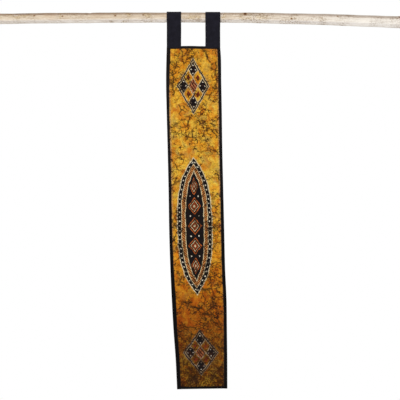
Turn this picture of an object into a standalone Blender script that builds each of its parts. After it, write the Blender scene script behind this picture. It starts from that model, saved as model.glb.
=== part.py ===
"""Batik wall hanging on a wooden rod.

A long narrow panel of dyed cotton is bound on its four edges with folded black cotton strips. Two black
cotton loops, lapped over the panel's top edge, hang it from a pale, slightly crooked wooden rod.
The origin is on the rod's axis, above the middle of the panel's top edge. X runs along the rod, the front
of the cloth faces -Y, and Z is up. All sizes are in metres.
"""

from math import acos, atan2, cos, hypot, pi, sin

import bmesh
import bpy
import numpy as np

# Driving dimensions of the rod, which is straight where the loops lie and droops towards both ends
ROD_LENGTH = 1.50
ROD_RADIUS = 0.0165
ROD_RADIUS_LEFT_END = 0.0171
ROD_RADIUS_RIGHT_END = 0.0196
ROD_DROOP_LEFT = 0.0051
ROD_DROOP_RIGHT = 0.0190
ROD_DROOP_POWER = 1.6
ROD_STRAIGHT_HALF = 0.095
ROD_SIDES = 24
ROD_RINGS_PER_SIDE = 12

# Driving dimensions of the cloth
CLEARANCE = 0.0003
PANEL_THICKNESS = 0.0012
BINDING_THICKNESS = 0.0010
TAB_THICKNESS = 0.0016
SIDE_BINDING_WIDTH = 0.0090
END_BINDING_WIDTH = 0.0075
PANEL_ROWS = 40
PANEL_COLUMNS = 10
FOLD_STEPS = 4

# The loops: each runs from its left edge to its right edge along the rod, and laps the top binding
TAB_SPANS = {"tab_left": (-0.0872, -0.0414), "tab_right": (0.0404, 0.0876)}
TAB_LAP = 0.0060
TAB_ARC_STEPS = 20
TAB_LEG_STEPS = 4

# The bound panel, section by section from its top edge to its hem. The left and right edges lean and
# taper as the hand-cut cloth does, and the depths are how far the edges and the middle lie from the plane
# of the rod's axis, positive towards the wall.
SECTION_COLUMNS = ("drop", "left", "right", "left_depth", "middle_depth", "right_depth")
SECTIONS = (
    (0.0944, -0.0873, 0.0876, 0.0000, 0.0000, 0.0000),
    (0.1050, -0.0877, 0.0885, 0.0000, 0.0000, 0.0000),
    (0.1270, -0.0883, 0.0901, 0.0005, -0.0008, 0.0010),
    (0.2060, -0.0897, 0.0914, 0.0022, -0.0022, 0.0030),
    (0.3050, -0.0879, 0.0932, 0.0034, -0.0026, 0.0020),
    (0.4370, -0.0844, 0.0951, 0.0010, -0.0034, 0.0042),
    (0.5690, -0.0815, 0.0981, 0.0034, -0.0028, 0.0014),
    (0.7010, -0.0794, 0.1013, 0.0014, -0.0012, 0.0036),
    (0.8330, -0.0752, 0.1044, -0.0014, 0.0008, 0.0022),
    (0.9320, -0.0706, 0.1090, -0.0022, 0.0014, 0.0042),
    (1.0310, -0.0650, 0.1104, -0.0034, 0.0008, 0.0058),
    (1.1300, -0.0577, 0.1115, -0.0044, 0.0014, 0.0070),
    (1.2255, -0.0532, 0.1118, -0.0060, 0.0018, 0.0082),
)
SECTION = dict(zip(SECTION_COLUMNS, np.array(SECTIONS).T))

# Sizes worked out from the driving dimensions
TOP_DROP = SECTION["drop"][0]
HEM_DROP = SECTION["drop"][-1]
CHANNEL_HALF = PANEL_THICKNESS / 2 + CLEARANCE
BINDING_HALF = CHANNEL_HALF + BINDING_THICKNESS
TAB_LEG_DEPTH = BINDING_HALF + CLEARANCE + TAB_THICKNESS / 2

# Colours in linear values, and roughness
BLACK_COTTON = ((0.012, 0.012, 0.018, 1.0), 0.90)
BATIK_COTTON = ((0.480, 0.230, 0.035, 1.0), 0.80)
BLEACHED_WOOD = ((0.640, 0.520, 0.410, 1.0), 0.75)


def clear_scene():
    for old in list(bpy.data.objects):
        bpy.data.objects.remove(old, do_unlink=True)


def make_material(name, look):
    """A plain Principled material of one colour and roughness."""
    colour, roughness = look
    material = bpy.data.materials.new(name)
    material.use_nodes = True
    shader = material.node_tree.nodes["Principled BSDF"]
    shader.inputs["Base Color"].default_value = colour
    shader.inputs["Roughness"].default_value = roughness
    shader.inputs["Metallic"].default_value = 0.0
    return material


def place(name, mesh, material, location, parent):
    """Links a mesh to the scene as a named object at a location under the parent."""
    mesh.materials.append(material)
    thing = bpy.data.objects.new(name, mesh)
    bpy.context.scene.collection.objects.link(thing)
    thing.location = location
    thing.parent = parent
    return thing


def make_cloth(name, surface, thickness, material, location, parent):
    """A sheet through a grid of middle-surface points, thickened evenly to both sides."""
    rows, columns = surface.shape[:2]
    points = (surface - np.array(location)).reshape(-1, 3)
    corner = np.arange(rows * columns).reshape(rows, columns)
    quads = np.stack((corner[:-1, :-1], corner[:-1, 1:], corner[1:, 1:], corner[1:, :-1]), axis=-1)
    mesh = bpy.data.meshes.new(name)
    mesh.from_pydata(points.tolist(), [], quads.reshape(-1, 4).tolist())
    mesh.shade_smooth()
    cloth = place(name, mesh, material, location, parent)
    thicken = cloth.modifiers.new("thickness", "SOLIDIFY")
    thicken.thickness = thickness
    thicken.offset = 0.0
    thicken.use_even_offset = True
    return cloth


def section_value(column, drop):
    """A column of the section table at any drop, along a smooth cubic through the table's rows."""
    drops, values = SECTION["drop"], SECTION[column]
    slopes = np.gradient(values, drops)
    drop = np.clip(drop, drops[0], drops[-1])
    i = np.clip(np.searchsorted(drops, drop) - 1, 0, len(drops) - 2)
    span = drops[i + 1] - drops[i]
    t = (drop - drops[i]) / span
    start = (1 + 2 * t) * (1 - t) ** 2 * values[i] + t * (1 - t) ** 2 * span * slopes[i]
    end = t * t * (3 - 2 * t) * values[i + 1] + t * t * (t - 1) * span * slopes[i + 1]
    return start + end


def cloth_point(x, drop, offset=0.0):
    """The middle surface of the hanging cloth at x and drop, moved by offset towards the wall.

    Across the cloth the depth is a parabola through the left edge, the middle and the right edge.
    """
    x, drop, offset = np.broadcast_arrays(x, drop, offset)
    left, right = section_value("left", drop), section_value("right", drop)
    u = (x - left) / (right - left)
    depth = (
        section_value("left_depth", drop) * (1 - u) * (1 - 2 * u)
        + section_value("middle_depth", drop) * 4 * u * (1 - u)
        + section_value("right_depth", drop) * u * (2 * u - 1)
    )
    return np.stack((x, depth + offset, -drop), axis=-1)


def make_rod(material, parent):
    """A pole of round rings, level where the loops lie and drooping ever more steeply to each sawn end."""
    half = ROD_LENGTH / 2
    outwards = np.linspace(ROD_STRAIGHT_HALF, half, ROD_RINGS_PER_SIDE)
    stations = np.concatenate((-outwards[::-1], outwards))
    share = (np.abs(stations) - ROD_STRAIGHT_HALF) / (half - ROD_STRAIGHT_HALF)
    droop = np.where(stations < 0, ROD_DROOP_LEFT, ROD_DROOP_RIGHT) * share**ROD_DROOP_POWER
    end_radius = np.where(stations < 0, ROD_RADIUS_LEFT_END, ROD_RADIUS_RIGHT_END)
    radius = ROD_RADIUS + (end_radius - ROD_RADIUS) * share
    turn = 2 * pi * np.arange(ROD_SIDES) / ROD_SIDES

    body = bmesh.new()
    rings = []
    for x, down, r in zip(stations, droop, radius):
        ring = [body.verts.new((x, r * sin(a), r * cos(a) - down)) for a in turn]
        rings.append([body.edges.new((ring[i - 1], ring[i])) for i in range(ROD_SIDES)])
    for near, far in zip(rings[:-1], rings[1:]):
        bmesh.ops.bridge_loops(body, edges=near + far)
    for end in (rings[0], rings[-1]):
        bmesh.ops.contextual_create(body, geom=end)
    bmesh.ops.recalc_face_normals(body, faces=body.faces)
    mesh = bpy.data.meshes.new("rod")
    body.to_mesh(mesh)
    body.free()
    mesh.shade_smooth()
    mesh.set_sharp_from_angle(angle=pi / 4)
    place("rod", mesh, material, (0.0, 0.0, 0.0), parent)


def cloth_drops():
    """Drops of the cloth's rows: both bound edges, the panel's raw edges in their folds, and even rows."""
    top = (TOP_DROP, TOP_DROP + BINDING_HALF)
    open_rows = np.linspace(TOP_DROP + END_BINDING_WIDTH, HEM_DROP - END_BINDING_WIDTH, PANEL_ROWS)
    hem = (HEM_DROP - BINDING_HALF, HEM_DROP)
    return np.concatenate((top, open_rows, hem))


def make_panel(material, parent):
    """The dyed cotton, whose raw edges lie inside the folds of the bindings."""
    drops = cloth_drops()[1:-1, None]
    left = section_value("left", drops) + BINDING_HALF
    right = section_value("right", drops) - BINDING_HALF
    bound = SIDE_BINDING_WIDTH - BINDING_HALF
    middle = np.linspace(0.0, 1.0, PANEL_COLUMNS - 2)
    x = np.hstack((left, left + bound + (right - left - 2 * bound) * middle, right))
    surface = cloth_point(x, drops)
    make_cloth("panel", surface, PANEL_THICKNESS, material, (0.0, 0.0, -TOP_DROP), parent)


def fold_profile(width):
    """Middle line of a strip folded over an edge: distance in from the fold, and offset from the cloth."""
    leg = BINDING_HALF - BINDING_THICKNESS / 2
    turn = np.linspace(-pi / 2, pi / 2, FOLD_STEPS + 1)
    inwards = np.concatenate(([width], BINDING_HALF - leg * np.cos(turn), [width]))
    offsets = np.concatenate(([-leg], leg * np.sin(turn), [leg]))
    return inwards, offsets


def make_side_binding(name, edge, inward, material, parent):
    """A strip folded over one side of the panel, from its top edge to its hem."""
    inwards, offsets = fold_profile(SIDE_BINDING_WIDTH)
    drops = cloth_drops()[:, None]
    surface = cloth_point(section_value(edge, drops) + inward * inwards, drops, offsets)
    location = (SECTION[edge][0], 0.0, -TOP_DROP)
    make_cloth(name, surface, BINDING_THICKNESS, material, location, parent)


def make_end_binding(name, edge_drop, inward, material, parent):
    """A strip folded over the top edge or the hem, between the two side strips."""
    inwards, offsets = fold_profile(END_BINDING_WIDTH)
    drops = edge_drop + inward * inwards
    margin = SIDE_BINDING_WIDTH + CLEARANCE
    left = section_value("left", drops) + margin
    right = section_value("right", drops) - margin
    across = np.linspace(0.0, 1.0, PANEL_COLUMNS)[:, None]
    surface = cloth_point(left + (right - left) * across, drops, offsets)
    make_cloth(name, surface, BINDING_THICKNESS, material, (0.0, 0.0, -edge_drop), parent)


def loop_profile():
    """Middle line of a loop, as depth and height: up the front leg, over the rod and down the back leg.

    Each leg stands straight where it laps the binding, then runs to the point where a straight line from
    the binding's top edge touches the circle round the rod.
    """
    radius = (ROD_RADIUS + CLEARANCE) / cos(pi / (2 * TAB_ARC_STEPS)) + TAB_THICKNESS / 2
    reach = hypot(TAB_LEG_DEPTH, TOP_DROP)
    touch = atan2(TAB_LEG_DEPTH, TOP_DROP) + acos(radius / reach)
    arc = np.linspace(touch, 2 * pi - touch, TAB_ARC_STEPS + 1)
    over = np.stack((-radius * np.sin(arc), -radius * np.cos(arc)), axis=-1)
    foot = np.array((-TAB_LEG_DEPTH, -TOP_DROP - TAB_LAP))
    shoulder = np.array((-TAB_LEG_DEPTH, -TOP_DROP))
    rise = np.linspace(0.0, 1.0, TAB_LEG_STEPS + 1)[:-1, None]
    front = np.vstack((foot, shoulder + (over[0] - shoulder) * rise))
    back = front[::-1] * (-1.0, 1.0)
    return np.vstack((front, over, back))


def make_tab(name, span, material, parent):
    """A flat band of folded black cotton that goes over the rod, both ends lapped on the top binding."""
    profile = loop_profile()
    centre = (span[0] + span[1]) / 2
    surface = np.zeros((len(profile), 2, 3))
    surface[:, :, 0] = span
    surface[:, :, 1:] = profile[:, None, :]
    make_cloth(name, surface, TAB_THICKNESS, material, (centre, 0.0, 0.0), parent)


def main():
    clear_scene()
    black = make_material("black_cotton", BLACK_COTTON)
    batik = make_material("batik_cotton", BATIK_COTTON)
    wood = make_material("bleached_wood", BLEACHED_WOOD)
    hanging = bpy.data.objects.new("hanging", None)
    bpy.context.scene.collection.objects.link(hanging)

    make_rod(wood, hanging)
    make_panel(batik, hanging)
    make_side_binding("binding_left", "left", 1, black, hanging)
    make_side_binding("binding_right", "right", -1, black, hanging)
    make_end_binding("binding_top", TOP_DROP, 1, black, hanging)
    make_end_binding("binding_bottom", HEM_DROP, -1, black, hanging)
    for name, span in TAB_SPANS.items():
        make_tab(name, span, black, hanging)


main()
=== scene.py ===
"""Cloth, sewing and finishes of a batik wall hanging and its bleached wooden rod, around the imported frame.

Lengths are in metres. +X runs along the rod, the front of the cloth faces -Y, and +Z is up. A pattern's
sizes are in millimetres.
"""

from math import hypot, pi, tau

import bmesh
import bpy
import numpy as np
from mathutils import Matrix


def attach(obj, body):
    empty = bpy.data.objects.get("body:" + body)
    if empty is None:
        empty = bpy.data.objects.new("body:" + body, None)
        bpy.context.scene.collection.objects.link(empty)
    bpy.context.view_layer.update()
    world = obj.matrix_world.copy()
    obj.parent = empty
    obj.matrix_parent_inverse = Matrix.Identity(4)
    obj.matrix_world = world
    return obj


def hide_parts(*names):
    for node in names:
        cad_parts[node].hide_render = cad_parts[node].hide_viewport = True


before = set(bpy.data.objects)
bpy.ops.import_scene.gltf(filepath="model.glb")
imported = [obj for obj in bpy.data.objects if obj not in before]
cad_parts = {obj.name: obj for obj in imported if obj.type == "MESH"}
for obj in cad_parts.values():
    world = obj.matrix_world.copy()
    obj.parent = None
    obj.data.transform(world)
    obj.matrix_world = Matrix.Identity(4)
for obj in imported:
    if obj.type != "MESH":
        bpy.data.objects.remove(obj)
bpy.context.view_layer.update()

# The rod. A young trunk peeled of its bark and bleached pale, a little crooked, with small knots, a nick,
# drying cracks and plain sawn ends. It follows the axis and thickness of the frame's rod, and the tabs
# hang from its straight middle.

KNOT_COLUMNS = ("along", "turn", "spread", "height")
KNOTS = (
    (-0.690, 2.60, 0.006, 0.0008),
    (-0.523, 1.21, 0.0027, 0.0004),
    (-0.430, 1.38, 0.0026, 0.0004),
    (-0.345, 3.90, 0.007, 0.0010),
    (-0.257, 1.30, 0.0030, 0.0004),
    (-0.165, 1.17, 0.003, 0.0004),
    (0.170, 0.92, 0.006, 0.0006),
    (0.322, 1.72, 0.003, 0.0006),
    (0.420, 4.60, 0.008, 0.0011),
    (0.474, 1.05, 0.0025, 0.0004),
    (0.600, 4.10, 0.006, 0.0008),
    (0.678, 0.64, 0.004, 0.0006),
)
KNOT = dict(zip(KNOT_COLUMNS, np.array(KNOTS).T))
NICK_ALONG, NICK_LENGTH, NICK_DEPTH, NICK_TURN = -0.341, 0.0050, 0.0017, 0.5
SLOW_WAVE, QUICK_WAVE = 0.00030, 0.00018
FLUTE, FINE_FLUTE = 0.00022, 0.00008
TAB_REACH = 0.095
TAB_RUB, UNDER_TAB_PLAY = 0.0002, 0.0001
ROD_SIDES = 112
ROD_ROW_STEP = 0.0028
SAWN_EDGE = 0.0010
CAP_RINGS = (0.03, 0.25, 0.50, 0.75, 0.90)
ROD_GIRTH = 0.105
MM_PER_METRE = (1000, 1000, 1000)


def surface_mesh(name, points, uv, closed=False):
    """A mesh through rows and columns of points, each joined by a quad to the next column and the next row.

    closed joins the last column to the first and caps both end rows, and uv then has one more column.
    """
    rows, columns = points.shape[:2]
    index = np.arange(rows * columns).reshape(rows, columns)
    around = np.hstack((index, index[:, :1])) if closed else index
    corners = (slice(None, -1), slice(None, -1)), (slice(None, -1), slice(1, None))
    corners += (slice(1, None), slice(1, None)), (slice(1, None), slice(None, -1))
    faces = np.stack([around[c] for c in corners], axis=-1).reshape(-1, 4).tolist()
    places = np.stack([uv[c] for c in corners], axis=2).reshape(-1, 2)
    if closed:
        faces += [index[0, ::-1].tolist(), index[-1].tolist()]
        places = np.vstack((places, uv[0, -2::-1], uv[-1, :-1]))
    mesh = bpy.data.meshes.new(name)
    mesh.from_pydata(points.reshape(-1, 3).tolist(), [], faces)
    layer = mesh.uv_layers.new(name="cloth")
    layer.uv.foreach_set("vector", places.astype(np.float32).ravel())
    mesh.shade_smooth()
    return mesh


def mark(mesh, name, values):
    """Writes one number for each point of a mesh, for its material to read."""
    layer = mesh.attributes.new(name, "FLOAT", "POINT")
    layer.data.foreach_set("value", np.asarray(values, np.float32).ravel())


def add_piece(mesh, slot, node_name, *materials):
    """Puts a finished mesh in the scene in place of a frame node, with its outward faces and materials."""
    shell = bmesh.new()
    shell.from_mesh(mesh)
    bmesh.ops.recalc_face_normals(shell, faces=shell.faces)
    shell.to_mesh(mesh)
    shell.free()
    for material in materials:
        mesh.materials.append(material)
    piece = bpy.data.objects.new(mesh.name, mesh)
    bpy.context.scene.collection.objects.link(piece)
    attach(piece, "root")
    if node_name:
        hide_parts(node_name)
    return piece


def linear(code):
    """An sRGB hex colour as linear RGBA: c / 12.92 up to 0.04045, and ((c + 0.055) / 1.055) ^ 2.4 above."""
    channels = np.array([int(code[i:i + 2], 16) for i in (1, 3, 5)]) / 255
    light = np.where(channels > 0.04045, ((channels + 0.055) / 1.055) ** 2.4, channels / 12.92)
    return (*light.tolist(), 1.0)


def node(tree, kind, sockets=None, stops=(), **settings):
    """Adds a shader node with its settings, its ramp's stops, and a value or a link for each input given.

    An input is named, or numbered among those in use. A node given as a value stands for its first output.
    A Mix node is always one of colours.
    """
    made = tree.nodes.new("ShaderNode" + kind)
    if kind == "Mix":
        made.data_type = "RGBA"
    for name, value in settings.items():
        setattr(made, name, value)
    live = [s for s in made.inputs if s.enabled]
    for key, value in (sockets or {}).items():
        socket = live[key] if isinstance(key, int) else next(s for s in live if s.name == key)
        if isinstance(value, bpy.types.Node):
            value = next(s for s in value.outputs if s.enabled)
        if isinstance(value, bpy.types.NodeSocket):
            tree.links.new(value, socket)
        else:
            socket.default_value = value
    for i, (position, code) in enumerate(stops):
        ramp = made.color_ramp.elements
        stop = ramp[i] if i < 2 else ramp.new(position)
        stop.position, stop.color = position, linear(code)
    return made


def covered(tree, below, code, value, none, full, most=1.0, blend="MIX"):
    """Covers a colour with another one, by a share that goes from 0 where value is none to most at full."""
    share = node(tree, "MapRange", {"Value": value, "From Min": none, "From Max": full, "To Max": most})
    return node(tree, "Mix", {0: share, 1: below, 2: linear(code)}, blend_type=blend)


def new_material(name, roughness, sheen=0.0):
    """An empty material of one roughness and sheen, with its node tree and its shader."""
    material = bpy.data.materials.new(name)
    material.use_nodes = True
    shader = material.node_tree.nodes["Principled BSDF"]
    shader.inputs["Roughness"].default_value = roughness
    shader.inputs["Sheen Weight"].default_value = sheen
    shader.inputs["Specular IOR Level"].default_value = 0.10
    return material, material.node_tree, shader


def bleached_pole():
    """Bleached softwood, dry and unvarnished: pale stains, darker fibres and paler streaks along them that
    are painted glints, and a grey-brown top that is partly old rind and partly painted shade.

    Its right end is whiter, partly bleached and partly painted light. Its underside is painted lighter, with
    a painted grey line of shade, and its top is darkest on its upper left, partly old rind and partly painted
    shade.
    """
    material, tree, shader = new_material("bleached_pole", 0.78)
    place = node(tree, "TexCoord").outputs["Object"]
    mm = node(tree, "VectorMath", {0: place, 1: MM_PER_METRE}, operation="MULTIPLY")
    stretched = node(tree, "VectorMath", {0: mm, 1: (0.06, 1, 1)}, operation="MULTIPLY")
    up = node(tree, "Attribute", attribute_name="upward").outputs["Fac"]
    knot = node(tree, "Attribute", attribute_name="knot").outputs["Fac"]
    stain = node(tree, "TexNoise", {"Vector": mm, "Scale": 1 / 60, "Detail": 4, "Distortion": 0.4})
    pale = node(
        tree, "ValToRGB", {0: stain},
        stops=((0.36, "#E3D1B9"), (0.46, "#E8D9C2"), (0.53, "#E8DAC5"), (0.60, "#E6D3AE"), (0.70, "#F2E9DD")),
    )
    along = node(tree, "SeparateXYZ", {0: place}).outputs["X"]
    # Whiter towards the right end: partly bleaching, partly painted light
    pale = covered(tree, pale, "#FFFAF0", along, 0.05, 0.55, 0.95)
    # A lighter underside: painted light
    pale = covered(tree, pale, "#FFF9F2", up, -0.22, -0.68, 0.8)
    fibre = node(tree, "TexNoise", {"Vector": stretched, "Scale": 1 / 2.6, "Detail": 6, "Roughness": 0.70})
    wood = covered(tree, pale, "#B0977F", fibre, 0.50, 0.72, 0.8)
    # Paler streaks along the fibres: painted glints on the grain
    wood = covered(tree, wood, "#F6EFE5", fibre, 0.46, 0.30)
    pores = node(tree, "TexNoise", {"Vector": mm, "Scale": 1 / 4, "Detail": 4, "Roughness": 0.7})
    pitted = node(tree, "MapRange", {"Value": stain, "From Min": 0.42, "From Max": 0.62, "To Max": 0.9})
    fleck = node(tree, "MapRange", {"Value": pores, "From Min": 0.51, "From Max": 0.60})
    fleck = node(tree, "Math", {0: fleck, 1: pitted}, operation="MULTIPLY")
    wood = node(tree, "Mix", {0: fleck, 1: wood, 2: linear("#9C7D57")})
    # A band round the rod by height: a grey-brown top, partly old bark and partly painted shade, and a thin
    # grey line below the middle that is painted shade
    band = node(tree, "Math", {0: fibre, 1: 0.55, 2: up}, operation="MULTIPLY_ADD")
    band = node(tree, "Math", {0: pores, 1: 0.35, 2: band}, operation="MULTIPLY_ADD")
    band = node(tree, "MapRange", {"Value": band, "From Min": -0.55, "From Max": 1.45})
    band = node(
        tree, "ValToRGB", {0: band},
        stops=((0.06, "#FFFFFF"), (0.17, "#E4E4E8"), (0.28, "#FFFFFF"), (0.40, "#F6F4F2"), (0.52, "#F0EEEC"),
               (0.61, "#F4F2F0"), (0.70, "#E0DAD6"), (0.79, "#CCC2BD"), (0.88, "#C4BCB7"), (0.97, "#DAD4CF")),
    )
    wood = node(tree, "Mix", {0: 1.0, 1: wood, 2: band}, blend_type="MULTIPLY")
    split = node(tree, "TexVoronoi", {"Vector": stretched, "Scale": 1 / 9}, feature="DISTANCE_TO_EDGE")
    seam = node(tree, "MapRange", {"Value": split, "From Min": 0.035, "From Max": 0.0})
    where = node(tree, "MapRange", {"Value": stain, "From Min": 0.50, "From Max": 0.60, "To Max": 0.7})
    crack = node(tree, "Math", {0: seam, 1: where}, operation="MULTIPLY")
    wood = node(tree, "Mix", {0: crack, 1: wood, 2: linear("#8B735C")})
    eye = node(
        tree, "ValToRGB", {0: knot},
        stops=((0.30, "#FFFFFF"), (0.50, "#E6D6C4"), (0.62, "#F0E6DA"), (0.74, "#B49A84"), (0.90, "#86664E")),
    )
    wood = node(tree, "Mix", {0: 1.0, 1: wood, 2: eye}, blend_type="MULTIPLY")
    grain = node(tree, "TexNoise", {"Vector": stretched, "Scale": 1 / 0.7, "Detail": 3, "Roughness": 0.7})
    wood = covered(tree, wood, "#C9B8A8", grain, 0.50, 0.66, 0.6, "MULTIPLY")
    # Darker top on the left part: partly old bark, partly painted shade
    bark_and_painted_shade = node(tree, "MapRange", {"Value": along, "From Min": -0.08, "From Max": -0.30, "To Max": 0.5})
    wood = covered(tree, wood, "#C2B0A2", up, 0.32, 0.66, bark_and_painted_shade, "MULTIPLY")
    # Whiter below the top at the right end: partly bleaching, partly painted light
    bleach_and_painted_light = node(tree, "MapRange", {"Value": along, "From Min": 0.42, "From Max": 0.60, "To Max": 0.45})
    wood = covered(tree, wood, "#FFFAF2", up, 0.50, 0.10, bleach_and_painted_light)
    relief = node(tree, "Math", {0: grain, 1: 0.5, 2: fibre}, operation="MULTIPLY_ADD")
    relief = node(tree, "Math", {0: crack, 1: -1.5, 2: relief}, operation="MULTIPLY_ADD")
    bump = node(tree, "Bump", {"Strength": 0.7, "Distance": 0.0008, "Height": relief})
    tree.links.new(wood.outputs[2], shader.inputs["Base Color"])
    tree.links.new(bump.outputs[0], shader.inputs["Normal"])
    return material


def sawn_end_grain():
    """The sawn ends of the same pole: uneven growth rings round the pith, and fibres torn by the saw."""
    material, tree, shader = new_material("sawn_end_grain", 0.85)
    place = node(tree, "TexCoord").outputs["Object"]
    mm = node(tree, "VectorMath", {0: place, 1: MM_PER_METRE}, operation="MULTIPLY")
    rough = node(tree, "TexNoise", {"Vector": mm, "Scale": 1 / 7, "Detail": 5, "Roughness": 0.55})
    radius = node(tree, "Attribute", attribute_name="from_pith").outputs["Fac"]
    ring_mm = node(tree, "Math", {0: radius, 1: 1000.0 * tau / 1.4}, operation="MULTIPLY")
    ring = node(tree, "Math", {0: rough, 1: 14.0, 2: ring_mm}, operation="MULTIPLY_ADD")
    wave = node(tree, "Math", {0: ring}, operation="SINE")
    wave = node(tree, "Math", {0: rough, 1: 3.0, 2: wave}, operation="MULTIPLY_ADD")
    wood = covered(tree, linear("#DECBB0"), "#AC9270", wave, 1.0, 2.8, 0.7)
    torn = node(tree, "TexNoise", {"Vector": mm, "Scale": 1 / 0.8, "Detail": 3, "Roughness": 0.7})
    wood = covered(tree, wood, "#BCA78C", torn, 0.48, 0.66, 0.6, "MULTIPLY")
    bump = node(tree, "Bump", {"Strength": 0.5, "Distance": 0.0004, "Height": torn})
    tree.links.new(wood.outputs[2], shader.inputs["Base Color"])
    tree.links.new(bump.outputs[0], shader.inputs["Normal"])
    return material


def frame_pole(piece):
    """Stations along a frame pole of rings, with the height of its axis and its radius at each one."""
    flat = np.empty(3 * len(piece.data.vertices), np.float32)
    piece.data.vertices.foreach_get("co", flat)
    along, height = flat[0::3].round(4), flat[2::3]
    stations, at = np.unique(along, return_inverse=True)
    top, low = np.full(len(stations), -np.inf), np.full(len(stations), np.inf)
    np.maximum.at(top, at, height)
    np.minimum.at(low, at, height)
    return stations, (top + low) / 2, (top - low) / 2


def knot_shares(along, turn, radius):
    """How close each point is to each knot, from 0 far off to 1 on it: a bell over the way along the wood."""
    aside = (turn[..., None] - KNOT["turn"] + pi) % tau - pi
    squared = (along[..., None] - KNOT["along"]) ** 2 + (radius[..., None] * aside) ** 2
    return np.exp(-squared / (2 * KNOT["spread"] ** 2))


stations, axis_heights, radii = frame_pole(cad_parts["rod"])
first, last = stations[0], stations[-1]
side_rows = np.linspace(first + SAWN_EDGE, last - SAWN_EDGE, int((last - first) / ROD_ROW_STEP))
caps = len(CAP_RINGS)
rod_rows = np.concatenate((np.full(caps, first), side_rows, np.full(caps, last)))
share = np.concatenate((CAP_RINGS, np.ones(len(side_rows)), CAP_RINGS[::-1]))
along, turn = np.meshgrid(rod_rows, tau * np.arange(ROD_SIDES) / ROD_SIDES, indexing="ij")
radius = np.interp(along, stations, radii)
near_knot = knot_shares(along, turn, radius)
waves = SLOW_WAVE * np.sin(tau * along / 0.23 + 1.1 + np.cos(turn))
waves = waves + QUICK_WAVE * np.sin(tau * along / 0.083 + turn)
peeling = FLUTE * np.cos(5 * turn + 2.4 * np.sin(tau * along / 0.9))
peeling = peeling + FINE_FLUTE * np.cos(11 * turn + along / 0.02)
from_top = (turn + pi) % tau - pi
nick = NICK_DEPTH * np.exp(-((along - NICK_ALONG) / NICK_LENGTH) ** 2 - (from_top / NICK_TURN) ** 2)
eyes = (near_knot * (1.5 - 1.9 * near_knot ** 6) * KNOT["height"]).sum(axis=-1)
swell = waves + peeling + eyes - nick
swell = np.where(np.abs(along) < TAB_REACH, np.minimum(swell - TAB_RUB, UNDER_TAB_PLAY), swell)
radius = (radius + swell) * share[:, None]
axis_height = np.interp(along, stations, axis_heights)
rod_surface = np.stack((along, -radius * np.sin(turn), axis_height + radius * np.cos(turn)), axis=-1)
rod_map = np.stack(np.meshgrid(rod_rows, np.linspace(0, ROD_GIRTH, ROD_SIDES + 1), indexing="ij"), axis=-1)
rod_mesh = surface_mesh("bleached_rod", rod_surface, rod_map, closed=True)
mark(rod_mesh, "upward", np.cos(turn))
mark(rod_mesh, "knot", near_knot.max(axis=-1))
mark(rod_mesh, "from_pith", radius)
at_end = np.zeros(len(rod_rows) - 1, np.int32)
at_end[:caps] = at_end[-caps:] = 1
rod_mesh.polygons.foreach_set("material_index", np.append(np.repeat(at_end, ROD_SIDES), (1, 1)))
rod = add_piece(rod_mesh, "bleached_wood", "rod", bleached_pole(), sawn_end_grain())
rod.data.set_sharp_from_angle(angle=pi / 5)

# The panel. Thin plain-woven cotton, waxed by hand and dyed golden ochre; towards the hem it is darker and
# browner, partly a brown over-dye and partly painted shade. The wax cracked, so dark dye ran into a net of
# fine lines. Its raw edges lie in the bindings' folds.
# The design is a generic one: a tall leaf of stacked lozenges between two harlequin lozenges.

SECTION_COLUMNS = ("drop", "left", "right", "left_depth", "middle_depth", "right_depth")
SECTIONS = (
    (0.0944, -0.0873, 0.0876, 0.0000, 0.0000, 0.0000),
    (0.1050, -0.0877, 0.0885, 0.0000, 0.0000, 0.0000),
    (0.1270, -0.0883, 0.0901, 0.0005, -0.0008, 0.0010),
    (0.2060, -0.0897, 0.0914, 0.0022, -0.0022, 0.0030),
    (0.3050, -0.0879, 0.0932, 0.0034, -0.0026, 0.0020),
    (0.4370, -0.0844, 0.0951, 0.0010, -0.0034, 0.0042),
    (0.5690, -0.0815, 0.0981, 0.0034, -0.0028, 0.0014),
    (0.7010, -0.0794, 0.1013, 0.0014, -0.0012, 0.0036),
    (0.8330, -0.0752, 0.1044, -0.0014, 0.0008, 0.0022),
    (0.9320, -0.0706, 0.1090, -0.0022, 0.0014, 0.0042),
    (1.0310, -0.0650, 0.1104, -0.0034, 0.0008, 0.0058),
    (1.1300, -0.0577, 0.1115, -0.0044, 0.0014, 0.0070),
    (1.2255, -0.0532, 0.1118, -0.0060, 0.0018, 0.0082),
)
SECTION = dict(zip(SECTION_COLUMNS, np.array(SECTIONS).T))
TOP_DROP, HEM_DROP = SECTION["drop"][0], SECTION["drop"][-1]
RAW_EDGE_INSET = 0.0019
CLOTH_THICKNESS = 0.0005
PANEL_ROWS, PANEL_COLUMNS = 440, 76
PUCKER_HEIGHT, PUCKER_REACH, PUCKER_LENGTH = 0.0005, 0.010, 0.0125
SLACK_HEIGHT = 0.0007
HELD_REACH = 0.03
CREASE_START, CREASE_FADE = 0.006, 0.012
WANDER, QUICK_WANDER = 0.0026, 0.0013

# Dye runs that show from across a room, as straight strokes from one end to the other
VEIN_COLUMNS = ("from_x", "from_drop", "to_x", "to_drop")
VEINS = (
    (-0.072, 0.158, -0.052, 0.161),
    (-0.042, 0.104, -0.031, 0.153),
    (0.037, 0.118, 0.056, 0.143),
    (0.073, 0.150, 0.077, 0.232),
    (-0.068, 0.176, -0.067, 0.252),
    (-0.068, 0.357, -0.030, 0.335),
    (-0.016, 0.325, -0.018, 0.367),
    (-0.045, 0.457, -0.034, 0.453),
    (-0.041, 0.876, -0.028, 0.876),
    (-0.033, 0.938, -0.006, 0.941),
    (-0.006, 0.956, 0.027, 0.958),
    (0.055, 0.958, 0.080, 0.952),
    (0.022, 0.983, 0.053, 0.976),
    (0.058, 0.994, 0.089, 1.023),
    (-0.031, 1.018, 0.009, 1.027),
    (-0.013, 1.177, 0.013, 1.204),
)
VEIN = dict(zip(VEIN_COLUMNS, np.array(VEINS).T))

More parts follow.
